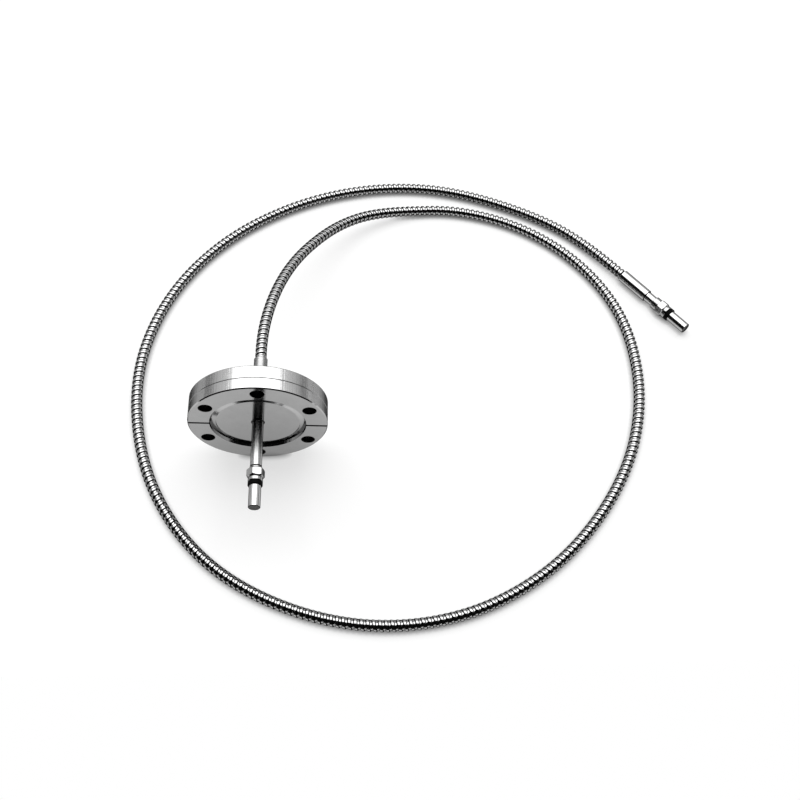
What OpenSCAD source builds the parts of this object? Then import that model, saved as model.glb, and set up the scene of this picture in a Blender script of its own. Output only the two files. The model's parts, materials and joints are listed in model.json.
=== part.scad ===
// Fibre-optic vacuum feedthrough: a knife-edge flange with a tube through its middle, a capped
// connector on the vacuum side, and an armoured hose with a second connector on the air side.
// The origin is the centre of the sealing face. The vacuum side is -Y, and the flange stands on
// its rim with the hose lying on the same table.

/* [Flange] */
// Outside diameter of the flange
flange_d = 70; // [50:0.5:90]
// Thickness of the flange
flange_t = 13; // [8:0.1:25]
// Chamfer on the two edges of the rim
flange_chamfer = 0.5; // [0.2:0.1:1.5]
// Turn of the bolt holes about the axis, as the flange stands
flange_turn = -5; // [-30:1:30]
// Distance of the bolt circle from the rim
bolt_inset = 5.65; // [5:0.05:8]
// Number of bolt holes
bolt_count = 6; // [4:2:8]
// Diameter of a bolt hole
bolt_hole_d = 6.7; // [4:0.1:7.5]
// Depth of the line turned round the rim
rim_line_depth = 0.2; // [0.1:0.05:0.8]
// Distance of that line from the sealing face
rim_line_at = 6.1; // [3:0.1:7]

/* [Seal] */
// Width of the face between the bolt holes and the gasket recess
recess_land = 1.85; // [1:0.05:4]
// Distance of the knife edge's tip from the wall of the recess
knife_inset = 3.2; // [2:0.1:5]
// Depth of the tip below the sealing face
knife_depth = 0.7; // [0.3:0.05:1]
// Slope of the knife edge's outer flank
knife_slope = 20; // [10:1:30]
// Depth of the plain disc inside the knife edge
disc_depth = 1.2; // [1.1:0.1:3]
// Width of a leak check groove
leak_groove_w = 1.4; // [0.8:0.1:3]

/* [Tube] */
// Outside diameter of the feed tube, and of the far connector's neck
tube_d = 5.8; // [5.4:0.1:6.2]
// Inside diameter of the feed tube
tube_bore_d = 4.4; // [4.2:0.1:4.8]
// Length of tube on the vacuum side of the sealing face
tube_reach = 24; // [10:0.5:80]
// Length of tube that stands out of the back of the flange
tube_stub = 8; // [4:0.5:15]
// Size of the weld fillet between tube and flange
weld_size = 0.6; // [0.2:0.1:1.2]
// Diameter of the fibre with its coating
fibre_d = 1; // [0.4:0.1:1.4]
// Length of the potting that seals the fibre into the tube
seal_l = 11; // [4:0.5:18]

/* [Connector] */
// Width of the coupling nut across its flats
nut_af = 8; // [7.8:0.1:10]
// Length of the coupling nut without its skirt
nut_l = 8; // [7:0.1:10]
// Distance of the hexagon from the back of the nut's wall
nut_hex_at = 1.4; // [0.8:0.1:2]
// Length of the nut's hexagon
nut_hex_l = 4.5; // [3:0.1:5]
// Slope of the chamfers on the hexagon's ends, against the nut's axis
nut_hex_slope = 55; // [40:1:70]
// How far the round collar in front of the hexagon is set in from the flats
nut_collar_in = 0.3; // [0.1:0.05:0.4]
// Width of the groove between hexagon and collar
nut_groove_w = 0.4; // [0.2:0.05:0.8]
// Depth of that groove below the collar
nut_groove = 0.2; // [0.05:0.05:0.25]
// Thickness of the nut's back wall
nut_wall = 1.5; // [0.8:0.1:2]
// Length of the vacuum nut's skirt over the feed tube
vacuum_skirt_l = 0.4; // [0.3:0.1:4]
// Wall of that skirt
vacuum_skirt_wall = 0.25; // [0.25:0.05:0.7]
// Length of the far nut's skirt over its neck
end_skirt_l = 2.1; // [0.3:0.1:4]
// Wall of that skirt
end_skirt_wall = 0.65; // [0.25:0.05:0.7]
// Turn of the vacuum nut about its axis, as it was left
vacuum_nut_turn = -17; // [-30:1:30]
// Turn of the far nut about its axis, as it was left
end_nut_turn = -20; // [-30:1:30]
// Diameter of the coupling thread
thread_d = 6.3; // [6:0.05:6.5]
// Diameter of the ferrule
ferrule_d = 3.2; // [2.5:0.05:3.4]
// How far the ferrule's tip stands in front of the coupling nut
ferrule_reach = 2.9; // [1:0.1:6]
// Chamfer on the ferrule's tip
ferrule_chamfer = 0.25; // [0.1:0.05:0.5]
// Length of the ferrule's spigot inside the tube
spigot_l = 6; // [3:0.5:8]
// Thickness of the snap ring
ring_t = 0.6; // [0.3:0.1:1]
// Depth of the snap ring's groove
ring_groove = 0.35; // [0.2:0.05:0.5]
// Width of the slot in the snap ring
ring_slot = 1.6; // [0.8:0.1:2.5]
// Length of the land that keeps the snap ring in its groove
ring_land = 0.8; // [0.4:0.1:1.5]
// Lead-in chamfer on the coupling threads
lead_in = 0.2; // [0.1:0.05:0.3]

/* [Cap] */
// Diameter of the protective cap
cap_d = 6; // [5.6:0.1:7]
// Length of the cap in front of its sealing ring
cap_l = 11.6; // [6:0.1:20]
// Chamfer on the cap's end
cap_chamfer = 0.3; // [0.1:0.1:1]
// Outside diameter of the rubber sealing ring
cap_seal_d = 7.4; // [7:0.1:9]
// Length of the rubber sealing ring
cap_seal_l = 2.2; // [1:0.1:3]
// Rounding of the sealing ring's outer edges
cap_seal_edge = 0.85; // [0.2:0.05:1]
// Depth of the groove that holds the sealing ring, below the thread
cap_groove = 0.55; // [0.3:0.05:0.7]
// Room in the cap in front of the ferrule's tip
ferrule_room = 1; // [0.3:0.1:4]

/* [Hose] */
// Outside diameter of the armoured hose
hose_d = 6; // [5.6:0.1:6.4]
// Outside diameter of the sleeves at both ends of the hose
sleeve_d = 7; // [6.8:0.1:9]
// Chamfer on the sleeves' ends
sleeve_chamfer = 0.35; // [0.1:0.05:0.4]
// Length of the gland sleeve behind the flange
gland_l = 25.8; // [18:0.1:60]
// Length of the sleeve at the far end
end_sleeve_l = 19.5; // [16:0.1:40]
// Length of the neck that shows in front of the far sleeve
end_neck_l = 7.4; // [3:0.1:20]
// Length of the neck inside the far sleeve
end_seat_l = 9.5; // [4:0.5:12]
// Distance of the far nut to the right of the flange's axis
end_x = 221; // [210:0.5:240]
// Distance of the far nut behind the sealing face
end_y = 91; // [80:0.5:100]
// Direction of the far connector on the table
end_turn = -51; // [-70:1:-30]
// Straight length of hose outside each sleeve
hose_lead = 6; // [3:0.5:10]

/* [Clearances] */
// Gap round pieces that are welded, pressed or potted together
seat_gap = 0.02; // [0.01:0.01:0.05]
// Gap round the neck that the coupling nut turns on
turn_gap = 0.05; // [0.02:0.01:0.1]
// Gap along the axis between the nut and what it turns against
end_gap = 0.1; // [0.05:0.05:0.3]
// Gap between the coupling threads, and between cap and ferrule
thread_gap = 0.12; // [0.08:0.01:0.2]

/* [Hidden] */

steel = "#c4c7cb";
bright_steel = "#d6d8db";
rubber = "#1b1b1d";
potting = "#7c6a4e";
coating = "#e9dfc8";

flange_fn = 128;
small_fn = 48;
cut = 1; // how far a cut runs past what it cuts

flange_r = flange_d / 2;
table_z = -flange_r;
bolt_circle_d = flange_d - 2 * bolt_inset;
recess_d = bolt_circle_d - bolt_hole_d - 2 * recess_land;
knife_d = recess_d - 2 * knife_inset;
recess_depth = knife_depth + knife_inset * tan(knife_slope);

// Connector sizes along its own axis, counted from the end of the tube that carries it
neck_d = tube_bore_d - 2 * seat_gap;
nut_start = end_gap;
nut_front = nut_start + nut_l;
nut_inside = nut_start + nut_wall;
ring_start = nut_inside + end_gap;
neck_end = ring_start + ring_t + ring_land;
ferrule_tip = nut_front + ferrule_reach;
nut_corner_r = nut_af / 2 / cos(30);
nut_collar_r = nut_af / 2 - nut_collar_in;
nut_bore_d = thread_d + 2 * thread_gap;
ring_d = nut_bore_d - 4 * thread_gap;
fibre_bore_d = fibre_d + 2 * seat_gap;
cap_back = neck_end + end_gap;
cap_ring_back = nut_front + end_gap;
cap_body_back = cap_ring_back + cap_seal_l;
cap_front = cap_body_back + cap_l;
cap_bore_d = ferrule_d + 2 * thread_gap;
cap_bore_end = ferrule_tip + ferrule_room;
cap_groove_d = thread_d - 2 * cap_groove;
rounding_share = 0.9; // most of a wall that a rounding takes

// The far connector lies high enough for its widest piece to turn clear of the table
end_z = table_z + max(nut_corner_r, sleeve_d / 2, cap_d / 2, cap_seal_d / 2);
end_way = [cos(end_turn), sin(end_turn), 0];
end_place = [end_x, end_y, end_z];

// Route of the hose: x, y and the height of its underside over the table
hose_points = [
    [5.5, 82, 29], [23, 122.5, 19], [52, 153.5, 7], [94, 164, 0], [138, 154, 0], [174, 128, 0],
    [197.5, 90, 0], [204, 46, 0], [196, 2, 0], [174.5, -37.5, 0], [142, -70, 0], [102, -90, 0],
    [57, -95, 0], [13, -84.5, 0], [-25.5, -61, 0], [-53.5, -25, 0], [-68, 18, 0], [-69.5, 62, 0],
    [-56, 105, 0], [-29, 141, 0], [7, 166, 0], [50, 180, 0], [95, 180.5, 0], [138, 167, 0],
    [176, 144, 0]
];
hose_sides = 12;
ring_step = 2.5 * hose_d;
hose_z = table_z + hose_d / 2;
gland_end = flange_t + gland_l;
sleeve_back = end_neck_l + end_sleeve_l;
hose_route = concat(
    [[0, flange_t + tube_stub, 0], [0, gland_end, 0], [0, gland_end + hose_lead, 0]],
    [for (p = hose_points) [p.x, p.y, hose_z + p.z]],
    [for (back = [sleeve_back + hose_lead, sleeve_back, end_neck_l + end_seat_l]) end_place - back * end_way]
);
last = len(hose_route) - 1;

function unit(v) = v / norm(v);

// Direction of the route at one of its points, from the points on both sides of it, and level
// where the hose lies on the table
function heading(i) =
    i == 0 ? unit(hose_route[1] - hose_route[0]) :
    i == last ? unit(hose_route[last] - hose_route[last - 1]) :
    let (
        before = hose_route[i] - hose_route[i - 1],
        after = hose_route[i + 1] - hose_route[i],
        way = unit(before) * norm(after) + unit(after) * norm(before)
    )
    unit(hose_route[i].z > hose_z ? way : [way.x, way.y, 0]);

// A point of the smooth curve between two route points, and its direction there
function on_curve(i, t) =
    let (l = norm(hose_route[i + 1] - hose_route[i]))
    hose_route[i] * (2 * t * t * t - 3 * t * t + 1) + heading(i) * l * (t * t * t - 2 * t * t + t)
    + hose_route[i + 1] * (3 * t * t - 2 * t * t * t) + heading(i + 1) * l * (t * t * t - t * t);
function along_curve(i, t) =
    let (l = norm(hose_route[i + 1] - hose_route[i]))
    unit((hose_route[i + 1] - hose_route[i]) * (6 * t - 6 * t * t)
    + heading(i) * l * (3 * t * t - 4 * t + 1) + heading(i + 1) * l * (3 * t * t - 2 * t));

// The hose's rings: a centre and a direction for each
function steps(i) = max(1, round(norm(hose_route[i + 1] - hose_route[i]) / ring_step));
hose_rings = concat(
    [for (i = [0 : last - 1]) let (n = steps(i)) for (k = [0 : n - 1])
        [on_curve(i, k / n), along_curve(i, k / n)]],
    [[hose_route[last], heading(last)]]
);

// The points of one ring, the first one to the side of the hose
function ring_points(ring) =
    let (side = unit(cross(ring[1], [0, 0, 1])), up = cross(side, ring[1]))
    [for (k = [0 : hose_sides - 1]) let (a = 360 * k / hose_sides)
        ring[0] + hose_d / 2 * (cos(a) * side + sin(a) * up)];

// Puts a piece that runs along +Z on the flange's axis, pointing to the vacuum side
module to_vacuum_side() {
    rotate([90, 0, 0])
        children();
}

// Puts a connector piece on the end of the feed tube
module at_vacuum_end() {
    translate([0, -tube_reach, 0])
        to_vacuum_side()
            children();
}

// Puts a connector piece on the end of the far neck
module at_far_end() {
    translate(end_place)
        rotate([0, 0, end_turn])
            rotate([0, 90, 0])
                children();
}

// A round bar along +Z between two places, with a chamfer on its front edge
module bar(d, from, to, chamfer = 0) {
    translate([0, 0, from])
        cylinder(d = d, h = to - from - chamfer, $fn = small_fn);
    if (chamfer > 0)
        translate([0, 0, to - chamfer])
            cylinder(d1 = d, d2 = d - 2 * chamfer, h = chamfer, $fn = small_fn);
}

// A round hole along +Z that runs past both places
module hole(d, from, to) {
    translate([0, 0, from])
        cylinder(d = d, h = to - from, $fn = small_fn);
}

// A sleeve with chamfered ends, from 0 to length
module sleeve_blank(length) {
    rotate_extrude($fn = small_fn)
        polygon([
            [0, 0], [sleeve_d / 2 - sleeve_chamfer, 0], [sleeve_d / 2, sleeve_chamfer],
            [sleeve_d / 2, length - sleeve_chamfer], [sleeve_d / 2 - sleeve_chamfer, length], [0, length]
        ]);
}

// The ferrule with its neck, snap ring groove and the spigot that is pressed into the tube
module ferrule_piece() {
    difference() {
        union() {
            bar(neck_d, -spigot_l, neck_end);
            bar(ferrule_d, neck_end, ferrule_tip, ferrule_chamfer);
        }
        hole(fibre_bore_d, -spigot_l - cut, ferrule_tip + cut);
        difference() {
            hole(neck_d + cut, ring_start, ring_start + ring_t);
            hole(neck_d - 2 * ring_groove, ring_start - cut, ring_start + ring_t + cut);
        }
    }
}

// The split ring in the ferrule's groove, which keeps the nut on
module snap_ring_piece() {
    difference() {
        hole(ring_d, ring_start, ring_start + ring_t);
        hole(neck_d - 2 * ring_groove + 2 * seat_gap, ring_start - cut, ring_start + ring_t + cut);
        translate([0, -ring_slot / 2, ring_start - cut])
            cube([ring_d, ring_slot, ring_t + 2 * cut]);
    }
}

// The coupling nut: a round back with a skirt over the tube that carries it, a chamfered hexagon, a
// grooved collar in front, and a bored inside
module nut_piece(skirt_l, skirt_wall) {
    skirt_bore_d = tube_d + 2 * turn_gap;
    back_r = min(skirt_bore_d / 2 + skirt_wall, nut_collar_r - seat_gap);
    groove_r = nut_collar_r - nut_groove;
    hex_end = nut_hex_at + nut_hex_l;
    back_chamfer = (nut_corner_r - nut_collar_r) / tan(nut_hex_slope);
    front_chamfer = (nut_corner_r - groove_r) / tan(nut_hex_slope);
    difference() {
        translate([0, 0, nut_start])
            union() {
                intersection() {
                    translate([0, 0, nut_hex_at])
                        cylinder(r = nut_corner_r, h = nut_hex_l, $fn = 6);
                    rotate_extrude($fn = small_fn)
                        polygon([
                            [0, nut_hex_at], [nut_collar_r, nut_hex_at],
                            [nut_corner_r, nut_hex_at + back_chamfer],
                            [nut_corner_r, hex_end - front_chamfer], [groove_r, hex_end], [0, hex_end]
                        ]);
                }
                rotate_extrude($fn = small_fn)
                    polygon([
                        [0, -skirt_l], [back_r - lead_in, -skirt_l], [back_r, lead_in - skirt_l],
                        [back_r, nut_hex_at + cut], [groove_r, nut_hex_at + cut],
                        [groove_r, hex_end + nut_groove_w], [nut_collar_r, hex_end + nut_groove_w],
                        [nut_collar_r, nut_l - lead_in], [nut_collar_r - lead_in, nut_l], [0, nut_l]
                    ]);
            }
        hole(skirt_bore_d, nut_start - skirt_l - cut, nut_start);
        hole(neck_d + 2 * turn_gap, nut_start - cut, nut_inside + cut);
        hole(nut_bore_d, nut_inside, nut_front + cut);
    }
}

// The protective cap: thread, groove for the sealing ring, and body, bored for the ferrule
module cap_piece() {
    difference() {
        rotate_extrude($fn = small_fn)
            polygon([
                [0, cap_back], [thread_d / 2 - lead_in, cap_back], [thread_d / 2, cap_back + lead_in],
                [thread_d / 2, cap_ring_back], [cap_groove_d / 2, cap_ring_back],
                [cap_groove_d / 2, cap_body_back], [cap_d / 2, cap_body_back],
                [cap_d / 2, cap_front - cap_chamfer], [cap_d / 2 - cap_chamfer, cap_front], [0, cap_front]
            ]);
        hole(cap_bore_d, cap_back - cut, cap_bore_end);
    }
}

// The rubber ring in the cap's groove, with rounded outer edges
module cap_seal_piece() {
    inner_r = cap_groove_d / 2 + seat_gap;
    outer_r = cap_seal_d / 2;
    edge = min(cap_seal_edge, rounding_share * cap_seal_l / 2, rounding_share * (outer_r - inner_r));
    rotate_extrude($fn = small_fn)
        polygon(concat(
            [[inner_r, cap_body_back], [inner_r, cap_ring_back]],
            [for (a = [-90 : 15 : 0])
                [outer_r - edge + edge * cos(a), cap_ring_back + edge + edge * sin(a)]],
            [for (a = [0 : 15 : 90])
                [outer_r - edge + edge * cos(a), cap_body_back - edge + edge * sin(a)]]
        ));
}

module flange() {
    color(steel)
        to_vacuum_side()
            rotate([0, 0, flange_turn])
                difference() {
                    rotate_extrude($fn = flange_fn)
                        polygon([
                            [tube_d / 2 + seat_gap, -flange_t], [flange_r - flange_chamfer, -flange_t],
                            [flange_r, -flange_t + flange_chamfer],
                            [flange_r, -rim_line_at - rim_line_depth],
                            [flange_r - rim_line_depth, -rim_line_at],
                            [flange_r, -rim_line_at + rim_line_depth],
                            [flange_r, -flange_chamfer], [flange_r - flange_chamfer, 0],
                            [recess_d / 2, 0], [recess_d / 2, -recess_depth],
                            [knife_d / 2, -knife_depth], [knife_d / 2, -disc_depth],
                            [tube_d / 2 + seat_gap, -disc_depth]
                        ]);
                    for (k = [0 : bolt_count - 1])
                        rotate([0, 0, 360 * (k + 0.5) / bolt_count])
                            translate([bolt_circle_d / 2, 0, 0])
                                hole(bolt_hole_d, -flange_t - cut, cut);
                    for (side = [0, 180])
                        rotate([0, 0, side])
                            translate([recess_d / 2 - recess_depth / 2, -leak_groove_w / 2, -recess_depth])
                                cube([flange_r, leak_groove_w, recess_depth + cut]);
                }
}

module feed_tube() {
    weld_foot = seat_gap - disc_depth;
    weld_centre = [tube_d / 2 + weld_size, weld_foot + weld_size];
    color(bright_steel)
        to_vacuum_side()
            difference() {
                union() {
                    hole(tube_d, -flange_t - tube_stub, tube_reach);
                    rotate_extrude($fn = small_fn)
                        polygon(concat(
                            [[tube_bore_d / 2, weld_foot + weld_size], [tube_bore_d / 2, weld_foot]],
                            [for (a = [-90 : -15 : -180]) weld_centre + weld_size * [cos(a), sin(a)]]
                        ));
                }
                hole(tube_bore_d, -flange_t - tube_stub - cut, tube_reach + cut);
            }
}

module tube_seal() {
    color(potting)
        to_vacuum_side()
            difference() {
                hole(tube_bore_d - 2 * seat_gap, -disc_depth - seal_l, -disc_depth);
                hole(fibre_bore_d, -disc_depth - seal_l - cut, -disc_depth + cut);
            }
}

module vacuum_fibre() {
    color(coating)
        to_vacuum_side()
            hole(fibre_d, -flange_t - tube_stub, tube_reach + ferrule_tip);
}

module vacuum_ferrule() {
    color(bright_steel)
        at_vacuum_end()
            ferrule_piece();
}

module vacuum_nut_ring() {
    color(steel)
        at_vacuum_end()
            snap_ring_piece();
}

module vacuum_nut() {
    color(bright_steel)
        at_vacuum_end()
            rotate([0, 0, vacuum_nut_turn])
                nut_piece(vacuum_skirt_l, vacuum_skirt_wall);
}

module vacuum_cap() {
    color(bright_steel)
        at_vacuum_end()
            cap_piece();
}

module vacuum_cap_seal() {
    color(rubber)
        at_vacuum_end()
            cap_seal_piece();
}

module hose_gland() {
    color(bright_steel)
        translate([0, gland_end, 0])
            to_vacuum_side()
                difference() {
                    sleeve_blank(gland_l);
                    hole(hose_d + 2 * seat_gap, -cut, gland_l - tube_stub);
                    hole(tube_d + 2 * seat_gap, gland_l - tube_stub, gland_l + cut);
                }
}

module armoured_hose() {
    rows = len(hose_rings);
    color(steel)
        polyhedron(
            points = [for (ring = hose_rings) each ring_points(ring)],
            faces = concat(
                [[for (k = [0 : hose_sides - 1]) k]],
                [for (i = [0 : rows - 2]) for (k = [0 : hose_sides - 1])
                    let (next = (k + 1) % hose_sides, a = i * hose_sides, b = a + hose_sides)
                    [a + k, b + k, b + next, a + next]],
                [[for (k = [hose_sides - 1 : -1 : 0]) (rows - 1) * hose_sides + k]]
            )
        );
}

module end_sleeve() {
    color(bright_steel)
        at_far_end()
            translate([0, 0, -sleeve_back])
                difference() {
                    sleeve_blank(end_sleeve_l);
                    hole(hose_d + 2 * seat_gap, -cut, end_sleeve_l - end_seat_l);
                    hole(tube_d + 2 * seat_gap, end_sleeve_l - end_seat_l, end_sleeve_l + cut);
                }
}

module end_body() {
    color(bright_steel)
        at_far_end()
            difference() {
                hole(tube_d, -end_neck_l - end_seat_l, 0);
                hole(tube_bore_d, -end_neck_l - end_seat_l - cut, cut);
            }
}

module end_fibre() {
    color(coating)
        at_far_end()
            hole(fibre_d, -end_neck_l - end_seat_l, ferrule_tip);
}

module end_ferrule() {
    color(bright_steel)
        at_far_end()
            ferrule_piece();
}

module end_nut_ring() {
    color(steel)
        at_far_end()
            snap_ring_piece();
}

module end_nut() {
    color(bright_steel)
        at_far_end()
            rotate([0, 0, end_nut_turn])
                nut_piece(end_skirt_l, end_skirt_wall);
}

module end_cap() {
    color(bright_steel)
        at_far_end()
            cap_piece();
}

module end_cap_seal() {
    color(rubber)
        at_far_end()
            cap_seal_piece();
}

flange();
feed_tube();
tube_seal();
vacuum_fibre();
vacuum_ferrule();
vacuum_nut_ring();
vacuum_nut();
vacuum_cap();
vacuum_cap_seal();
hose_gland();
armoured_hose();
end_sleeve();
end_body();
end_fibre();
end_ferrule();
end_nut_ring();
end_nut();
end_cap();
end_cap_seal();
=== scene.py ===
import json
import math

import bmesh
import bpy
import numpy as np
from mathutils import Matrix, Vector


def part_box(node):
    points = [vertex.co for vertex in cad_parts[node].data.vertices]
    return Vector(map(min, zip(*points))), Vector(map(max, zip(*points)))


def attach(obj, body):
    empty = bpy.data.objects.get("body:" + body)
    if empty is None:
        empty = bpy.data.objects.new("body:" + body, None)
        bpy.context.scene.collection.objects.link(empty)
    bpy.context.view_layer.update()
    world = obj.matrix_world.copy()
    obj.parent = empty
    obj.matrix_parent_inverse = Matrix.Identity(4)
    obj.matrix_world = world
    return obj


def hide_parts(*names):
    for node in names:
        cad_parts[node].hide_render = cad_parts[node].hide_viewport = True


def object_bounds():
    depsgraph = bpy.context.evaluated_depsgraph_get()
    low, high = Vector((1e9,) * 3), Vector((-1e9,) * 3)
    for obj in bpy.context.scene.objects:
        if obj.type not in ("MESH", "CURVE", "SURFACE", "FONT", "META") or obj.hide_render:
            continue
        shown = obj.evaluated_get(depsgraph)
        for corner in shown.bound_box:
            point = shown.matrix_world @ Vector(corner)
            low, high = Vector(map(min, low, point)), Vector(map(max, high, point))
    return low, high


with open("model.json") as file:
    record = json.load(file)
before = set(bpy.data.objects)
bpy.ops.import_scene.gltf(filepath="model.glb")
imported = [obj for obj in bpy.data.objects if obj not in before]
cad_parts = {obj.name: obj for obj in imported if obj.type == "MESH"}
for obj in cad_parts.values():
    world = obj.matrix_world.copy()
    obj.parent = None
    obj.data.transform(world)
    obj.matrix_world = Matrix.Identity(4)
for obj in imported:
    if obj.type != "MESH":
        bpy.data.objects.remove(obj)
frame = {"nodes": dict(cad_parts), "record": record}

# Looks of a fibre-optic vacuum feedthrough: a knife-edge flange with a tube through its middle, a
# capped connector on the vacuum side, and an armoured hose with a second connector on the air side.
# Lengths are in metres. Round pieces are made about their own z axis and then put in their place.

cad_box = [list(corner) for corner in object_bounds()]
scene = bpy.context.scene
scene.view_settings.view_transform = "Standard"

MM = 0.001

# Sizes that the frame's boxes don't give: flange and tube
FLANGE_R = 35 * MM
FLANGE_TURN = math.radians(-5)
RIM_CHAMFER = 0.5 * MM
RIM_LINE_AT = 6.1 * MM
RIM_LINE = 0.2 * MM
KNIFE_DEPTH = 0.7 * MM
KNIFE_INSET = 3.2 * MM
KNIFE_SLOPE = math.radians(20)
RECESS_LAND = 1.85 * MM
DISC_DEPTH = 1.2 * MM
LEAK_GROOVE_W = 1.4 * MM
HOLE_CHAMFER = 0.25 * MM
CUT_PAST = 1 * MM
TUBE_R = 2.9 * MM
TUBE_BORE_R = 2.2 * MM
WELD = 0.6 * MM
SEAT_GAP = 0.02 * MM

# Coupling nuts, with heights counted from their front
NUT_FLATS = 8 * MM
NUT_L = 8 * MM
NUT_HEX_START = 1.4 * MM - NUT_L
NUT_HEX_END = NUT_HEX_START + 4.5 * MM
NUT_HEX_SLOPE = math.radians(55)
NUT_COLLAR_IN = 0.3 * MM
NUT_GROOVE_W = 0.4 * MM
NUT_GROOVE = 0.2 * MM
NUT_WALL = 1.5 * MM
NUT_BORE_R = 3.27 * MM
NUT_NECK_R = 2.23 * MM
NUT_CORNER_CUT = 0.1 * MM
NUT_THREAD_DEPTH = 0.12 * MM
SKIRT_BORE_R = 2.95 * MM
VACUUM_BACK_R = 3.2 * MM
VACUUM_LINE_R = 2.98 * MM
VACUUM_LAND = (0.45 * MM - NUT_L, 0.85 * MM - NUT_L)
VACUUM_NUT_TURN = math.radians(-17)
END_BACK_R = 3.6 * MM
END_NUT_TURN = math.radians(-20)

# Caps, sealing rings and ferrules, with heights counted from the nut's front too
THREAD_R = 3.15 * MM
THREAD_PITCH = 0.5 * MM
CAP_R = 3 * MM
CAP_CHAMFER = 0.3 * MM
CAP_GROOVE_R = 2.6 * MM
CAP_BORE_R = 1.72 * MM
CAP_BORE_DEEPER = 1 * MM
CAP_THREAD_DEPTH = 0.28 * MM
CAP_SEAL_R = 3.7 * MM
CAP_SEAL_EDGE = 0.85 * MM
FERRULE_R = 1.6 * MM
FERRULE_NECK_R = 2.18 * MM
FERRULE_NECK_END = 3 * MM - NUT_L
FERRULE_CHAMFER = 0.25 * MM
FIBRE_R = 0.5 * MM
LEAD_IN = 0.2 * MM

# Sleeves and hose
SLEEVE_R = 3.5 * MM
SLEEVE_CHAMFER = 0.35 * MM
HOSE_R = 3 * MM

# Fineness of the meshes
EDGE = 0.08 * MM
EDGE_SHARE = 0.4
EDGE_STEPS = 3
SEAL_EDGE_STEPS = 6
THREAD_STEPS = 6
ROUND_SIDES = 64
FLANGE_SIDES = 240
HOLE_SIDES = 48
NUT_SIDES = 96
FERRULE_SIDES = 40
ARMOUR_SIDES = 18
SHARP_ANGLE = math.radians(35)
SAME_POINT = 1e-7

# The armour's section along one turn of the strip: share of the pitch, and millimetres below the
# crest. Two rows that differ by more than WALL_STEP millimetres have the wall of a fold between them,
# and that wall is painted near black as shade.
ARMOUR_PITCH = 3 * MM
ARMOUR_SECTION = [
    (0.00, 0.20), (0.05, 0.04), (0.10, 0.00), (0.40, 0.00), (0.45, 0.04), (0.50, 0.20),
    (0.54, 0.50), (0.59, 0.62), (0.64, 0.66), (0.86, 0.66), (0.91, 0.62), (0.96, 0.50),
]
WALL_STEP = 0.05

# Route of the hose: x, y and the height of its underside over the table, in millimetres
HOSE_POINTS = [
    (5.5, 82, 29), (23, 122.5, 19), (52, 153.5, 7), (94, 164, 0), (138, 154, 0), (174, 128, 0),
    (197.5, 90, 0), (204, 46, 0), (196, 2, 0), (174.5, -37.5, 0), (142, -70, 0), (102, -90, 0),
    (57, -95, 0), (13, -84.5, 0), (-25.5, -61, 0), (-53.5, -25, 0), (-68, 18, 0), (-69.5, 62, 0),
    (-56, 105, 0), (-29, 141, 0), (7, 166, 0), (50, 180, 0), (95, 180.5, 0), (138, 167, 0),
    (176, 144, 0),
]
HOSE_LEAD = 6 * MM
HOSE_STEP = 2 * MM
TABLE_TOLERANCE = 1e-6

# Finishes: noise scales are per metre, and shades are shares of a material's tone
TOOL_SCALE = 5000
BAND_SCALE = 700
CLOUD_SCALE = 160
STREAK_SCALE = 40
TOOL_DEPTH = 0.01 * MM
GRAIN_DEPTH = 0.02 * MM
CLOUD_SHADE = 0.93
CLOUD_RANGE = (0.3, 0.7)
MARK_RANGE = (0.7, 1.3)
GRAIN_SHADE = 0.75
GRAIN_MARKS = 0.1
QUARTER_TURN = 0.25

# Camera, in the photograph's frame
CAMERA_AIM = Vector((72.5, 33.3, -35)) * MM
CAMERA_DISTANCE = 594.5 * MM
CAMERA_AZIMUTH = math.radians(-2.39)
CAMERA_ELEVATION = math.radians(59.45)
CAMERA_ROLL = math.radians(1.01)
CAMERA_LENS = 48.98

# Light and floor
SOFTBOX_AWAY = 2.5
SOFTBOX_ELEVATION = math.radians(70)
SOFTBOX_SIZE = (3.4, 2.2)
SOFTBOX_RADIANCE = 2.7
STUDIO_BEHIND = (-0.15, 0.45)
STUDIO_RISE = (0.0, 0.4)
STUDIO_HIGH = 1.05
STUDIO_LOW = 0.1
STUDIO_FRONT = 0.008
FLOOR_SIZE = 12
FLOOR_FRONT = -0.115
FLOOR_TONE = 0.36
FLOOR_GLOW = 0.66
FLOOR_CONTACT = 3 * MM
FLOOR_NEAR = 0.36
FLOOR_FAR = 0.7

mounts = {mount["name"]: mount for mount in frame["record"]["mounts"]}
table_z = cad_box[0][2]


def place(mount, side):
    """Where a round piece goes: at the mount, with z along the mount's axis and x to the given side."""
    z = Vector(mount["axis"]).normalized()
    x = Vector(side)
    matrix = Matrix((x, z.cross(x), z)).transposed().to_4x4()
    matrix.translation = mount["pos_m"]
    return matrix


on_flange = place(mounts["flange_bolts"], (1, 0, 0))
on_vacuum_end = place(mounts["vacuum_connector"], (1, 0, 0))
on_far_end = place(mounts["hose_connector"], (0, 0, -1))


def along(node, matrix=on_flange):
    """Where a piece starts and ends along the axis of a place."""
    heights = [(matrix.inverted() @ v.co).z for v in frame["nodes"][node].data.vertices]
    return min(heights), max(heights)


# Nodes

def new_material(name):
    """A material and its shader, ready for nodes."""
    made = bpy.data.materials.new(name)
    made.use_nodes = True
    return made, made.node_tree, made.node_tree.nodes["Principled BSDF"]


def add(tree, kind, inputs=None, **settings):
    """A node with its settings, and with its inputs set or linked."""
    node = tree.nodes.new(kind)
    for key, value in settings.items():
        setattr(node, key, value)
    for key, value in (inputs or {}).items():
        if isinstance(value, bpy.types.NodeSocket):
            tree.links.new(value, node.inputs[key])
        else:
            node.inputs[key].default_value = value
    return node


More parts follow.
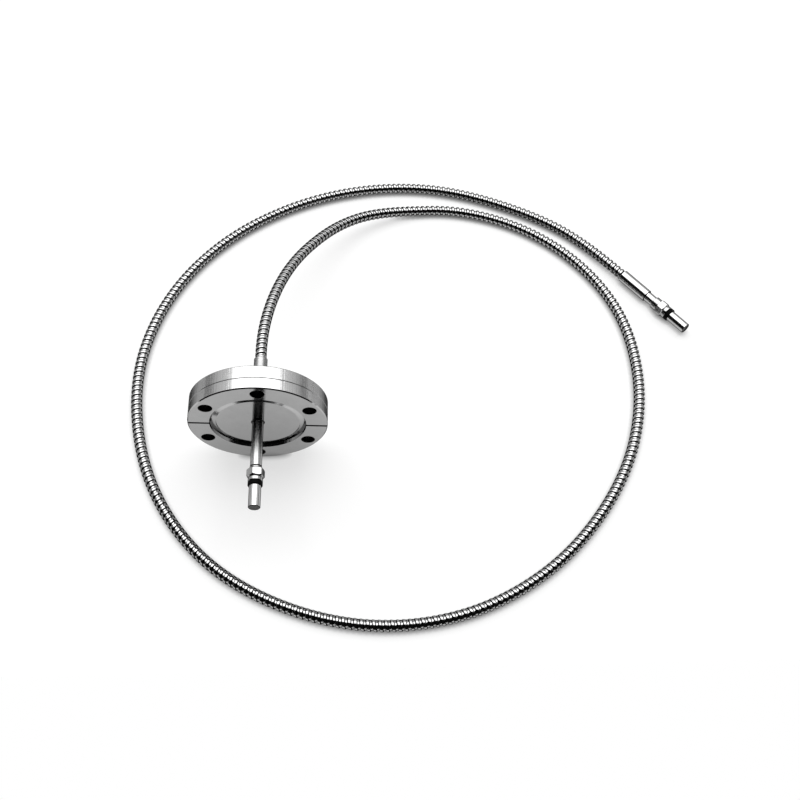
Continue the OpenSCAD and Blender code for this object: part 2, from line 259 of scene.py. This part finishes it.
def calc(tree, operation, first, second):
    """The result of a sum, a product and the like."""
    return add(tree, "ShaderNodeMath", {0: first, 1: second}, operation=operation).outputs[0]


def vector(tree, operation, *values):
    """The outputs of a step of vector arithmetic."""
    return add(tree, "ShaderNodeVectorMath", dict(enumerate(values)), operation=operation).outputs


def noise(tree, point, scale, detail, roughness=0.5):
    """Noise at a point."""
    return add(tree, "ShaderNodeTexNoise", {
        "Vector": point, "Scale": scale, "Detail": detail, "Roughness": roughness,
    }).outputs["Fac"]


def mapped(tree, value, source, target=(0, 1), kind="LINEAR"):
    """A value brought from one range to another."""
    return add(tree, "ShaderNodeMapRange", {
        "Value": value, "From Min": source[0], "From Max": source[1],
        "To Min": target[0], "To Max": target[1],
    }, interpolation_type=kind).outputs["Result"]


def shaded(tree, value, tone, share, source=(0, 1)):
    """A colour that runs from a share of the tone to the tone itself."""
    node = add(tree, "ShaderNodeValToRGB", {"Fac": value})
    dark, light = node.color_ramp.elements
    dark.position, light.position = source
    dark.color = (*[share * c for c in tone], 1)
    light.color = (*tone, 1)
    return node.outputs["Color"]


def connect(tree, shader, outputs):
    """Links outputs to inputs of the shader."""
    for name, output in outputs.items():
        tree.links.new(output, shader.inputs[name])


# Materials

def steel(name, grey, roughness, lines, marks, streaks=0, spread=0):
    """Turned steel: fine tool lines round the axis, and a roughness that varies by its marks.

    Streaks are a faint waviness round the axis, this deep, which breaks reflections up. Spread is how
    far the tool lines draw reflections out along the axis."""
    made, tree, shader = new_material(name)
    point = add(tree, "ShaderNodeTexCoord").outputs["Object"]
    across = vector(tree, "MULTIPLY", point, (1, 1, 0))["Vector"]
    radius = vector(tree, "LENGTH", across)["Value"]
    height = add(tree, "ShaderNodeSeparateXYZ", {0: point}).outputs["Z"]
    section = add(tree, "ShaderNodeCombineXYZ", {"X": radius, "Y": height}).outputs[0]
    tool = noise(tree, section, TOOL_SCALE, detail=3)
    bands = noise(tree, section, BAND_SCALE, detail=2)
    cloud = noise(tree, point, CLOUD_SCALE, detail=5, roughness=0.6)
    mixed = calc(tree, "ADD", bands, cloud)
    bump = add(tree, "ShaderNodeBump", {"Height": tool, "Strength": lines, "Distance": TOOL_DEPTH})
    if streaks:
        spoke = vector(tree, "NORMALIZE", across)["Vector"]
        bump = add(tree, "ShaderNodeBump", {
            "Height": noise(tree, spoke, STREAK_SCALE, detail=4), "Normal": bump.outputs["Normal"],
            "Strength": 1.0, "Distance": streaks,
        })
    if spread:
        round_axis = add(tree, "ShaderNodeTangent", direction_type="RADIAL", axis="Z")
        connect(tree, shader, {"Tangent": round_axis.outputs["Tangent"]})
        shader.inputs["Anisotropic"].default_value = spread
        shader.inputs["Anisotropic Rotation"].default_value = QUARTER_TURN
    connect(tree, shader, {
        "Base Color": shaded(tree, cloud, (grey, grey, grey), CLOUD_SHADE, CLOUD_RANGE),
        "Roughness": mapped(tree, mixed, MARK_RANGE, (roughness - marks, roughness + marks)),
        "Normal": bump.outputs["Normal"],
    })
    shader.inputs["Metallic"].default_value = 1
    shader.inputs["Specular Tint"].default_value = (0, 0, 0, 1)
    return made


def plain(name, tone, roughness, grain, depth, gloss=0.5):
    """A dull material with a fine grain: rubber, potting, coating."""
    made, tree, shader = new_material(name)
    point = add(tree, "ShaderNodeTexCoord").outputs["Object"]
    grains = noise(tree, point, grain, detail=4)
    bump = add(tree, "ShaderNodeBump", {"Height": grains, "Strength": depth, "Distance": GRAIN_DEPTH})
    connect(tree, shader, {
        "Base Color": shaded(tree, grains, tone, GRAIN_SHADE),
        "Roughness": mapped(tree, grains, (0, 1), (roughness - GRAIN_MARKS, roughness + GRAIN_MARKS)),
        "Normal": bump.outputs["Normal"],
    })
    shader.inputs["Specular IOR Level"].default_value = gloss
    return made


flange_steel = steel("flange_steel", 0.48, roughness=0.12, lines=0.15, marks=0.03)
rim_steel = steel("rim_steel", 0.43, roughness=0.26, lines=0.15, marks=0.04, streaks=0.08 * MM)
# Near-black steel, painted shade: on the walls of bolt holes and leak grooves, and on the weld ring at the
# tube's foot.
painted_shade_steel = steel("painted_shade_steel", 0.05, roughness=0.35, lines=0.5, marks=0.1)
# Near-black steel, painted shade: in the fine lines round the nut's back, in the nut's groove, and on the
# front chamfers of caps and sleeve.
painted_black_shade_steel = steel("painted_black_shade_steel", 0.02, roughness=0.5, lines=0.5, marks=0.1)
# Darker, rougher steel, used for the vacuum cap's end face.
dark_end_steel = steel("dark_end_steel", 0.22, roughness=0.45, lines=0.5, marks=0.1)
brushed_steel = steel("brushed_steel", 0.3, roughness=0.28, lines=0.2, marks=0.06, streaks=0.03 * MM)
tube_steel = steel("tube_steel", 0.5, roughness=0.22, lines=0.05, marks=0.02, spread=0.85)
turned_steel = steel("turned_steel", 0.46, roughness=0.12, lines=0.15, marks=0.03)
nut_steel = steel("nut_steel", 0.37, roughness=0.14, lines=0.1, marks=0.03)
hose_steel = steel("hose_steel", 0.4, roughness=0.12, lines=0.05, marks=0.03)
# Near-black steel, painted shade on the walls of the hose's folds.
painted_fold_shade_steel = steel("painted_fold_shade_steel", 0.02, roughness=0.25, lines=0.05, marks=0.05)
rubber = plain("rubber", (0.003, 0.003, 0.003), roughness=0.6, grain=2500, depth=0.3, gloss=0.04)
potting = plain("potting", (0.3, 0.22, 0.12), roughness=0.4, grain=800, depth=0.2)
coating = plain("coating", (0.85, 0.8, 0.68), roughness=0.35, grain=1500, depth=0.1)


# Meshes

def new_piece(name, mesh, matrix, body, node, materials):
    """Puts a mesh in its place, as a piece that rides on a body and stands for a node of the frame."""
    obj = bpy.data.objects.new(name, mesh)
    scene.collection.objects.link(obj)
    for made in materials:
        mesh.materials.append(made)
    obj.matrix_world = matrix
    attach(obj, body)
    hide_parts(node)
    return obj


def even_normals(obj):
    """Keeps large faces flat to the eye beside their small rounded edges."""
    obj.modifiers.new("even_normals", "WEIGHTED_NORMAL").keep_sharp = True


def rounded(outline, size=EDGE, steps=EDGE_STEPS):
    """An open outline with a small arc at each inner corner, limited by the sides that meet there."""
    points = [Vector(p) for p in outline]
    made = [points[0]]
    for before, corner, after in zip(points, points[1:], points[2:]):
        start = before - corner
        stop = after - corner
        reach = min(size, EDGE_SHARE * start.length, EDGE_SHARE * stop.length)
        start = corner + start.normalized() * reach
        stop = corner + stop.normalized() * reach
        for k in range(steps + 1):
            t = k / steps
            made.append(start * (1 - t) ** 2 + corner * 2 * t * (1 - t) + stop * t ** 2)
    made.append(points[-1])
    return made


def ring_outline(inner, outer, start, stop, chamfer=0.0):
    """Closed section of a tube or ring, with a chamfer on its outer edges."""
    middle = ((inner + outer) / 2, start)
    if chamfer:
        edges = [
            (outer - chamfer, start), (outer, start + chamfer),
            (outer, stop - chamfer), (outer - chamfer, stop),
        ]
    else:
        edges = [(outer, start), (outer, stop)]
    return rounded([middle, *edges, (inner, stop), (inner, start), middle])


def smooth_mesh(name, made):
    """The finished mesh, with its faces turned outwards."""
    bmesh.ops.recalc_face_normals(made, faces=made.faces)
    mesh = bpy.data.meshes.new(name)
    made.to_mesh(mesh)
    made.free()
    mesh.shade_smooth()
    return mesh


def turned_mesh(name, outline_at, sides):
    """Mesh of a round piece. outline_at gives the section, as radius and height, at each angle."""
    made = bmesh.new()
    columns = []
    for k in range(sides):
        angle = 2 * math.pi * k / sides
        c, s = math.cos(angle), math.sin(angle)
        columns.append([made.verts.new((r * c, r * s, z)) for r, z in outline_at(angle)])
    for left, right in zip(columns, columns[1:] + columns[:1]):
        for i in range(len(left) - 1):
            made.faces.new((left[i], right[i], right[i + 1], left[i + 1]))
    bmesh.ops.remove_doubles(made, verts=made.verts, dist=SAME_POINT)
    return smooth_mesh(name, made)


def turned(name, outline, matrix, body, node, finish, sides=ROUND_SIDES):
    """A round piece with the same section at every angle."""
    mesh = turned_mesh(name, lambda angle: outline, sides)
    obj = new_piece(name, mesh, matrix, body, node, [finish])
    even_normals(obj)
    return obj


def faces_to_material(obj, index, chosen):
    """Gives a piece's chosen faces another of its materials, for the rim's finish and for painted shade.
    """
    for face in obj.data.polygons:
        if chosen(face.center):
            face.material_index = index


def thread(radius, depth, start, stop, angle):
    """The part of a section that crosses a screw thread. A negative depth cuts outwards, into a nut."""
    count = THREAD_STEPS * round(abs(stop - start) / THREAD_PITCH)
    points = []
    for k in range(1, count):
        z = start + (stop - start) * k / count
        share = (z / THREAD_PITCH - angle / (2 * math.pi)) % 1
        fade = min(1, k / THREAD_STEPS, (count - k) / THREAD_STEPS)
        points.append(Vector((radius - depth * fade * abs(2 * share - 1), z)))
    return points


# Camera

def add_camera():
    """The photograph's view: aimed at a point on the table, with a slight roll."""
    a, e, roll = CAMERA_AZIMUTH, CAMERA_ELEVATION, CAMERA_ROLL
    right = Vector((math.cos(a), math.sin(a), 0))
    back = Vector((math.sin(a) * math.cos(e), -math.cos(a) * math.cos(e), math.sin(e)))
    up = back.cross(right)
    rolled_right = math.cos(roll) * right + math.sin(roll) * up
    rolled_up = math.cos(roll) * up - math.sin(roll) * right
    matrix = Matrix((rolled_right, rolled_up, back)).transposed().to_4x4()
    matrix.translation = CAMERA_AIM + CAMERA_DISTANCE * back
    data = bpy.data.cameras.new("camera")
    data.lens = CAMERA_LENS
    camera = bpy.data.objects.new("camera", data)
    scene.collection.objects.link(camera)
    camera.matrix_world = matrix
    scene.camera = camera


# Hose

def hose_line():
    """Points along the hose's centreline, a small step apart on a smooth curve through its route."""
    gland_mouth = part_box("hose_gland")[1].y
    stub_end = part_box("feed_tube")[1].y
    hose_z = table_z + HOSE_R
    way = np.array(on_far_end.col[2][:3])
    origin = np.array(on_far_end.translation)
    sleeve_back = along("end_sleeve", on_far_end)[0]
    neck_back = along("end_body", on_far_end)[0]
    route = [(0, stub_end, 0), (0, gland_mouth, 0), (0, gland_mouth + HOSE_LEAD, 0)]
    route += [(x * MM, y * MM, hose_z + lift * MM) for x, y, lift in HOSE_POINTS]
    route += [origin + way * u for u in (sleeve_back - HOSE_LEAD, sleeve_back, neck_back)]
    route = np.array([list(p) for p in route])
    steps = np.diff(route, axis=0)
    lengths = np.linalg.norm(steps, axis=1)
    units = steps / lengths[:, None]
    headings = units[:-1] * lengths[1:, None] + units[1:] * lengths[:-1, None]
    headings[:, 2] *= route[1:-1, 2] > hose_z + TABLE_TOLERANCE
    headings = np.vstack([units[:1], headings, units[-1:]])
    headings /= np.linalg.norm(headings, axis=1)[:, None]
    line = [route[0]]
    for i, length in enumerate(lengths):
        count = max(1, round(length / HOSE_STEP))
        t = np.arange(1, count + 1)[:, None] / count
        line.extend(
            route[i] * (2 * t**3 - 3 * t**2 + 1) + headings[i] * length * (t**3 - 2 * t**2 + t)
            + route[i + 1] * (3 * t**2 - 2 * t**3) + headings[i + 1] * length * (t**3 - t**2)
        )
    return np.array(line)


def armour_points(line):
    """Points of the wound strip, in rows that run round the hose as a screw does, so folds stay crisp."""
    run = np.concatenate([[0], np.cumsum(np.linalg.norm(np.diff(line, axis=0), axis=1))])
    total = run[-1]
    turns = math.ceil(total / ARMOUR_PITCH) + 1
    shares = np.array([share for share, depth in ARMOUR_SECTION])
    depths = np.array([depth for share, depth in ARMOUR_SECTION]) * MM
    row_turn = (np.arange(turns)[:, None] + shares).ravel()
    row_depth = np.tile(depths, turns)
    side = np.arange(ARMOUR_SIDES)
    at = (row_turn[:, None] - side / ARMOUR_SIDES) * ARMOUR_PITCH
    inside = (at > 0) & (at < total)
    at = np.clip(at, 0, total)
    centre = np.stack([np.interp(at, run, line[:, k]) for k in range(3)], axis=-1)
    slope = np.gradient(line, run, axis=0)
    way = np.stack([np.interp(at, run, slope[:, k]) for k in range(3)], axis=-1)
    way /= np.linalg.norm(way, axis=-1, keepdims=True)
    beside = np.cross(way, (0, 0, 1))
    beside /= np.linalg.norm(beside, axis=-1, keepdims=True)
    over = np.cross(beside, way)
    angle = 2 * math.pi * side / ARMOUR_SIDES
    outward = np.cos(angle)[:, None] * beside + np.sin(angle)[:, None] * over
    radius = HOSE_R - np.where(inside, row_depth[:, None], depths.max())
    return centre + radius[..., None] * outward


def armour_mesh(line):
    """The wound strip with its ends closed. The walls of its folds get near-black steel, painted shade."""
    made = bmesh.new()
    grid = [[made.verts.new(p) for p in row] for row in armour_points(line)]
    per_turn = len(ARMOUR_SECTION)
    following = ARMOUR_SECTION[1:] + ARMOUR_SECTION[:1]
    wall = [abs(b[1] - a[1]) > WALL_STEP for a, b in zip(ARMOUR_SECTION, following)]
    for i in range(len(grid) - 1):
        for k in range(ARMOUR_SIDES):
            last = k == ARMOUR_SIDES - 1
            j = 0 if last else k + 1
            row = i + per_turn if last else i
            if row + 1 < len(grid):
                face = made.faces.new((grid[i][k], grid[row][j], grid[row + 1][j], grid[i + 1][k]))
                face.material_index = int(wall[i % per_turn])
    bmesh.ops.remove_doubles(made, verts=made.verts, dist=SAME_POINT)
    loose = [v for v in made.verts if not v.link_faces]
    bmesh.ops.delete(made, geom=loose, context="VERTS")
    bmesh.ops.holes_fill(made, edges=[e for e in made.edges if e.is_boundary])
    return smooth_mesh("hose_armour", made)


def add_hose(line):
    """The armoured hose."""
    return new_piece("hose_armour", armour_mesh(line), Matrix.Identity(4), "feedthrough",
                     "armoured_hose", [hose_steel, painted_fold_shade_steel])


# Flange, tube and gland

def cut_away(obj, cutters):
    """Cuts the meshes of the cutters out of a piece, with painted shade: the cut faces take the cutters'
    near-black steel.
    """
    for cutter in cutters:
        cut = obj.modifiers.new("cut", "BOOLEAN")
        cut.operation = "DIFFERENCE"
        cut.solver = "EXACT"
        cut.material_mode = "TRANSFER"
        cut.object = cutter
    ready = obj.evaluated_get(bpy.context.evaluated_depsgraph_get())
    mesh = bpy.data.meshes.new_from_object(ready)
    obj.modifiers.clear()
    obj.data = mesh
    for cutter in cutters:
        bpy.data.objects.remove(cutter)


def new_cutter(name, mesh, matrix):
    """A mesh to cut with, in its place, carrying the near-black steel that paints shade on the cut faces.
    """
    obj = bpy.data.objects.new(name, mesh)
    mesh.materials.append(painted_shade_steel)
    scene.collection.objects.link(obj)
    obj.matrix_world = matrix
    return obj


def block_mesh(name, low, high):
    """A box between two corners, for a groove."""
    made = bmesh.new()
    bmesh.ops.create_cube(made, size=1)
    for v in made.verts:
        v.co = [lo + (hi - lo) * (c + 0.5) for lo, hi, c in zip(low, high, v.co)]
    mesh = bpy.data.meshes.new(name)
    made.to_mesh(mesh)
    made.free()
    return mesh


def add_flange():
    """The turned disc: rim with its line, recess, knife edge, bolt holes and leak check grooves."""
    bolts = mounts["flange_bolts"]["dims"]
    circle_r = bolts["pcd_mm"] / 2 * MM
    hole_r = bolts["hole_r_mm"] * MM
    back = along("flange")[0]
    recess_r = circle_r - hole_r - RECESS_LAND
    knife_r = recess_r - KNIFE_INSET
    recess_depth = KNIFE_DEPTH + KNIFE_INSET * math.tan(KNIFE_SLOPE)
    bore_r = TUBE_R + SEAT_GAP
    middle = ((bore_r + FLANGE_R) / 2, back)
    outline = rounded([
        middle, (FLANGE_R - RIM_CHAMFER, back), (FLANGE_R, back + RIM_CHAMFER),
        (FLANGE_R, -RIM_LINE_AT - RIM_LINE), (FLANGE_R - RIM_LINE, -RIM_LINE_AT),
        (FLANGE_R, -RIM_LINE_AT + RIM_LINE), (FLANGE_R, -RIM_CHAMFER), (FLANGE_R - RIM_CHAMFER, 0),
        (recess_r, 0), (recess_r, -recess_depth), (knife_r, -KNIFE_DEPTH), (knife_r, -DISC_DEPTH),
        (bore_r, -DISC_DEPTH), (bore_r, back), middle,
    ])
    mesh = turned_mesh("flange_disc", lambda angle: outline, FLANGE_SIDES)
    obj = new_piece("flange_disc", mesh, on_flange, "feedthrough", "flange",
                    [flange_steel, rim_steel])
    faces_to_material(obj, 1, lambda at: at.xy.length > FLANGE_R - RIM_CHAMFER / 2)
    # Bolt holes and leak grooves: their walls get near-black steel, painted shade.
    wide = hole_r + HOLE_CHAMFER + CUT_PAST
    drill = [
        (0, back - CUT_PAST), (wide, back - CUT_PAST), (hole_r, back + HOLE_CHAMFER),
        (hole_r, -HOLE_CHAMFER), (wide, CUT_PAST), (0, CUT_PAST),
    ]
    cutters = []
    for k in range(bolts["count"]):
        turn = Matrix.Rotation(FLANGE_TURN + 2 * math.pi * (k + 0.5) / bolts["count"], 4, "Z")
        at_hole = on_flange @ turn @ Matrix.Translation((circle_r, 0, 0))
        drill_mesh = turned_mesh("drill", lambda angle: drill, HOLE_SIDES)
        cutters.append(new_cutter("drill", drill_mesh, at_hole))
    for side in (0, math.pi):
        turn = Matrix.Rotation(FLANGE_TURN + side, 4, "Z")
        low = (recess_r - recess_depth / 2, -LEAK_GROOVE_W / 2, -recess_depth)
        high = (FLANGE_R + CUT_PAST, LEAK_GROOVE_W / 2, CUT_PAST)
        cutters.append(new_cutter("groove", block_mesh("groove", low, high), on_flange @ turn))
    cut_away(obj, cutters)
    obj.data.set_sharp_from_angle(angle=SHARP_ANGLE)
    even_normals(obj)


def add_tube():
    """The tube through the flange, with its weld on the disc."""
    start, stop = along("feed_tube")
    foot = SEAT_GAP - DISC_DEPTH
    middle = ((TUBE_R + TUBE_BORE_R) / 2, start)
    outline = rounded([
        middle, (TUBE_R, start), (TUBE_R, foot), (TUBE_R + WELD, foot),
        (TUBE_R + WELD / 3, foot + WELD / 3), (TUBE_R, foot + WELD),
        (TUBE_R, stop), (TUBE_BORE_R, stop), (TUBE_BORE_R, start), middle,
    ])
    tube = turned("feed_tube_turned", outline, on_flange, "feedthrough", "feed_tube",
                  tube_steel)
    # The weld ring gets near-black steel, painted shade where the tube meets the disc.
    tube.data.materials.append(painted_shade_steel)
    faces_to_material(tube, 1, lambda at: at.xy.length > TUBE_R + SEAT_GAP)


def add_gland():
    """The sleeve on the back of the flange that holds the hose."""
    outline = ring_outline(TUBE_R + SEAT_GAP, SLEEVE_R, *along("hose_gland"), SLEEVE_CHAMFER)
    turned("hose_gland_turned", outline, on_flange, "feedthrough", "hose_gland",
           brushed_steel)


# Connectors

def nut_outline(angle, turn, back):
    """Section of the coupling nut: round back, chamfered hexagon, groove, collar and threaded bore."""
    half = NUT_FLATS / 2
    off_flat = (angle - turn) % (math.pi / 3) - math.pi / 6
    hexagon = min(half / math.cos(off_flat), half / math.cos(math.pi / 6) - NUT_CORNER_CUT)
    collar = half - NUT_COLLAR_IN
    groove = collar - NUT_GROOVE
    wall = -NUT_L
    inside = wall + NUT_WALL
    slope = math.tan(NUT_HEX_SLOPE)
    outer = rounded([
        (NUT_NECK_R, inside), (NUT_NECK_R, wall), (SKIRT_BORE_R, wall), (SKIRT_BORE_R, back[0][1]), *back,
        (collar, NUT_HEX_START), (hexagon, NUT_HEX_START + (hexagon - collar) / slope),
        (hexagon, NUT_HEX_END - (hexagon - groove) / slope), (groove, NUT_HEX_END),
        (groove, NUT_HEX_END + NUT_GROOVE_W), (collar, NUT_HEX_END + NUT_GROOVE_W),
        (collar, -LEAD_IN), (collar - LEAD_IN, 0), (NUT_BORE_R, 0), (NUT_BORE_R, -EDGE),
    ], EDGE / 2)
    bore = thread(NUT_BORE_R, -NUT_THREAD_DEPTH, -EDGE, inside, angle)
    return outer + bore + [Vector((NUT_BORE_R, inside)), Vector((NUT_NECK_R, inside))]


def cap_outline(angle, back, seal, front, tip):
    """Section of the protective cap: bored for the ferrule, threaded, grooved for the sealing ring."""
    bore_end = tip + CAP_BORE_DEEPER
    inner = rounded([
        (0, bore_end), (CAP_BORE_R, bore_end), (CAP_BORE_R, back),
        (THREAD_R - LEAD_IN, back), (THREAD_R, back + LEAD_IN), (THREAD_R, back + 2 * LEAD_IN),
    ])
    screw = thread(THREAD_R, CAP_THREAD_DEPTH, back + 2 * LEAD_IN, seal[0] - LEAD_IN, angle)
    outer = rounded([
        (THREAD_R, seal[0] - LEAD_IN), (THREAD_R, seal[0]), (CAP_GROOVE_R, seal[0]),
        (CAP_GROOVE_R, seal[1]), (CAP_R, seal[1]), (CAP_R, front - CAP_CHAMFER),
        (CAP_R - CAP_CHAMFER, front), (0, front),
    ])
    return inner + screw + outer


def ferrule_outline(start, tip):
    """Section of the ferrule with its neck, bored for the fibre."""
    middle = ((FIBRE_R + FERRULE_NECK_R) / 2, start)
    return rounded([
        middle, (FERRULE_NECK_R, start), (FERRULE_NECK_R, FERRULE_NECK_END),
        (FERRULE_R, FERRULE_NECK_END), (FERRULE_R, tip - FERRULE_CHAMFER),
        (FERRULE_R - FERRULE_CHAMFER, tip), (FIBRE_R + SEAT_GAP, tip), (FIBRE_R + SEAT_GAP, start), middle,
    ])


def seal_outline(start, stop):
    """Section of the rubber ring, with round outer edges."""
    inner = CAP_GROOVE_R + SEAT_GAP
    middle = ((inner + CAP_SEAL_R) / 2, start)
    return rounded([
        middle, (CAP_SEAL_R, start), (CAP_SEAL_R, stop), (inner, stop), (inner, start), middle,
    ], CAP_SEAL_EDGE, SEAL_EDGE_STEPS)


def add_connector(end, matrix, nut_turn, nut_back, end_face_steel):
    """Ferrule, coupling nut, cap and sealing ring, at one end. Heights count from the nut's front."""
    back, front = along(f"{end}_cap", matrix)
    seal = along(f"{end}_cap_seal", matrix)
    spigot, tip = along(f"{end}_ferrule", matrix)
    ferrule = turned(f"{end}_ferrule_turned", ferrule_outline(spigot, tip), matrix,
                     "feedthrough", f"{end}_ferrule", turned_steel, FERRULE_SIDES)
    nut_mesh = turned_mesh(f"{end}_nut_milled", lambda a: nut_outline(a, nut_turn, nut_back), NUT_SIDES)
    nut = new_piece(f"{end}_nut_milled", nut_mesh, matrix, f"{end}_nut", f"{end}_nut",
                    [nut_steel, painted_black_shade_steel])
    even_normals(nut)
    cap_mesh = turned_mesh(f"{end}_cap_turned", lambda a: cap_outline(a, back, seal, front, tip),
                           ROUND_SIDES)
    cap = new_piece(f"{end}_cap_turned", cap_mesh, matrix, f"{end}_cap", f"{end}_cap",
                    [turned_steel, painted_black_shade_steel, end_face_steel])
    # Painted shade: near-black steel on the cap's front chamfer.
    faces_to_material(cap, 1, lambda at: at.z > front - CAP_CHAMFER)
    # The cap's end face gets the given end steel, which is darker on the vacuum cap.
    faces_to_material(cap, 2, lambda at: at.z > front - EDGE / 4)
    even_normals(cap)
    ring = turned(f"{end}_cap_ring", seal_outline(*seal), matrix,
                  f"{end}_cap", f"{end}_cap_seal", rubber)
    return [ferrule, nut, cap, ring]


def add_vacuum_end():
    """The connector on the tube. Its nut has two fine turned lines round its back and a groove, all
    painted near black as shade.
    """
    land_start, land_end = VACUUM_LAND
    back = [
        (VACUUM_LINE_R, along("vacuum_nut", on_vacuum_end)[0]), (VACUUM_LINE_R, land_start),
        (VACUUM_BACK_R, land_start), (VACUUM_BACK_R, land_end),
        (VACUUM_LINE_R, land_end), (VACUUM_LINE_R, NUT_HEX_START),
    ]
    nut = add_connector("vacuum", on_vacuum_end, VACUUM_NUT_TURN, back, dark_end_steel)[1]
    # Painted shade: near-black steel in the fine lines round the nut's back and in its groove.
    faces_to_material(nut, 1, lambda at: at.z < NUT_HEX_START and at.xy.length < VACUUM_BACK_R - EDGE)
    faces_to_material(nut, 1, lambda at: NUT_HEX_END < at.z < NUT_HEX_END + NUT_GROOVE_W)


def add_far_end():
    """The connector on the hose, with its crimp sleeve and neck. Gives back all its pieces."""
    sleeve_back, sleeve_front = along("end_sleeve", on_far_end)
    sleeve_outline = ring_outline(TUBE_R + SEAT_GAP, SLEEVE_R, sleeve_back, sleeve_front, SLEEVE_CHAMFER)
    sleeve = turned("end_sleeve_turned", sleeve_outline, on_far_end, "feedthrough",
                    "end_sleeve", turned_steel)
    # Painted shade: near-black steel on the sleeve's front chamfer.
    sleeve.data.materials.append(painted_black_shade_steel)
    faces_to_material(sleeve, 1, lambda at: at.z > sleeve_front - SLEEVE_CHAMFER)
    neck_outline = ring_outline(TUBE_BORE_R, TUBE_R, *along("end_body", on_far_end))
    neck = turned("end_neck_turned", neck_outline, on_far_end, "feedthrough", "end_body",
                  turned_steel)
    skirt_end = along("end_nut", on_far_end)[0]
    back = [
        (END_BACK_R - LEAD_IN, skirt_end), (END_BACK_R, skirt_end + LEAD_IN), (END_BACK_R, NUT_HEX_START),
    ]
    return [sleeve, neck, *add_connector("end", on_far_end, END_NUT_TURN, back, turned_steel)]


def finish_kept_pieces():
    """Finishes for the inner pieces that stay as the frame has them."""
    finishes = {
        "tube_seal": potting, "vacuum_fibre": coating, "end_fibre": coating,
        "vacuum_nut_ring": turned_steel, "end_nut_ring": turned_steel,
    }
    for node, finish in finishes.items():
        materials = frame["nodes"][node].data.materials
        materials.clear()
        materials.append(finish)


# Floor and light

def ray_seen(tree):
    """1 for what the camera sees, by itself or in metal and glass, and 0 for light on other things."""
    path = add(tree, "ShaderNodeLightPath").outputs
    seen = calc(tree, "MAXIMUM", path["Is Camera Ray"], path["Is Glossy Ray"])
    return calc(tree, "MAXIMUM", seen, path["Is Transmission Ray"])


def add_floor():
    """A white floor that keeps the shadow near the object and runs out to plain white."""
    mesh = bpy.data.meshes.new("floor")
    half = FLOOR_SIZE / 2
    front = FLOOR_FRONT - CAMERA_AIM.y
    corners = [(-half, front, 0), (half, front, 0), (half, half, 0), (-half, half, 0)]
    mesh.from_pydata(corners, [], [(0, 1, 2, 3)])
    floor = bpy.data.objects.new("floor", mesh)
    floor.location = (CAMERA_AIM.x, CAMERA_AIM.y, table_z)
    scene.collection.objects.link(floor)
    made, tree, shader = new_material("floor")
    tree.nodes.remove(shader)
    point = add(tree, "ShaderNodeTexCoord").outputs["Object"]
    away = vector(tree, "LENGTH", point)["Value"]
    far = mapped(tree, away, (FLOOR_NEAR, FLOOR_FAR), kind="SMOOTHSTEP")
    seen = ray_seen(tree)
    glow = calc(tree, "MULTIPLY", seen, FLOOR_GLOW)
    open_sky = add(tree, "ShaderNodeAmbientOcclusion", {"Distance": FLOOR_CONTACT}).outputs["AO"]
    lifted = calc(tree, "MULTIPLY", glow, open_sky)
    paper = add(tree, "ShaderNodeBsdfDiffuse", {"Color": (FLOOR_TONE, FLOOR_TONE, FLOOR_TONE, 1)})
    lift = add(tree, "ShaderNodeEmission", {"Strength": lifted})
    near = add(tree, "ShaderNodeAddShader", {0: paper.outputs[0], 1: lift.outputs[0]})
    white = add(tree, "ShaderNodeEmission", {"Strength": 1.0})
    share = calc(tree, "MULTIPLY", seen, far)
    whole = add(tree, "ShaderNodeMixShader", {0: share, 1: near.outputs[0], 2: white.outputs[0]})
    tree.links.new(whole.outputs[0], tree.nodes["Material Output"].inputs["Surface"])
    mesh.materials.append(made)


def add_softbox():
    """A large softbox high behind the object."""
    light = bpy.data.lights.new("softbox", "AREA")
    light.shape = "RECTANGLE"
    light.size, light.size_y = SOFTBOX_SIZE
    light.energy = SOFTBOX_RADIANCE * math.pi * SOFTBOX_SIZE[0] * SOFTBOX_SIZE[1]
    softbox = bpy.data.objects.new("softbox", light)
    scene.collection.objects.link(softbox)
    way = Vector((0, math.cos(SOFTBOX_ELEVATION), math.sin(SOFTBOX_ELEVATION)))
    softbox.location = CAMERA_AIM + SOFTBOX_AWAY * way
    softbox.rotation_euler = way.to_track_quat("Z", "Y").to_euler()


def add_studio():
    """A studio that is pale behind the object and dark in front of it, with a white backdrop."""
    world = bpy.data.worlds.new("studio")
    world.use_nodes = True
    tree = world.node_tree
    scene.world = world
    way_out = add(tree, "ShaderNodeTexCoord").outputs["Generated"]
    parts = add(tree, "ShaderNodeSeparateXYZ", {0: way_out}).outputs
    behind = mapped(tree, parts["Y"], STUDIO_BEHIND, kind="SMOOTHSTEP")
    height = mapped(tree, parts["Z"], STUDIO_RISE, (STUDIO_LOW, STUDIO_HIGH), kind="SMOOTHSTEP")
    lit = calc(tree, "MULTIPLY", behind, height)
    tone = calc(tree, "MAXIMUM", lit, STUDIO_FRONT)
    path = add(tree, "ShaderNodeLightPath").outputs
    strength = add(tree, "ShaderNodeMix", {
        "Factor": path["Is Camera Ray"], "A": tone, "B": 1.0,
    }, data_type="FLOAT")
    background = tree.nodes["Background"]
    tree.links.new(strength.outputs["Result"], background.inputs["Strength"])
    background.inputs["Color"].default_value = (1, 1, 1, 1)


add_camera()
line = hose_line()
hose = add_hose(line)
add_flange()
add_tube()
add_gland()
add_vacuum_end()
far_pieces = add_far_end()
finish_kept_pieces()

add_floor()
add_softbox()
add_studio()
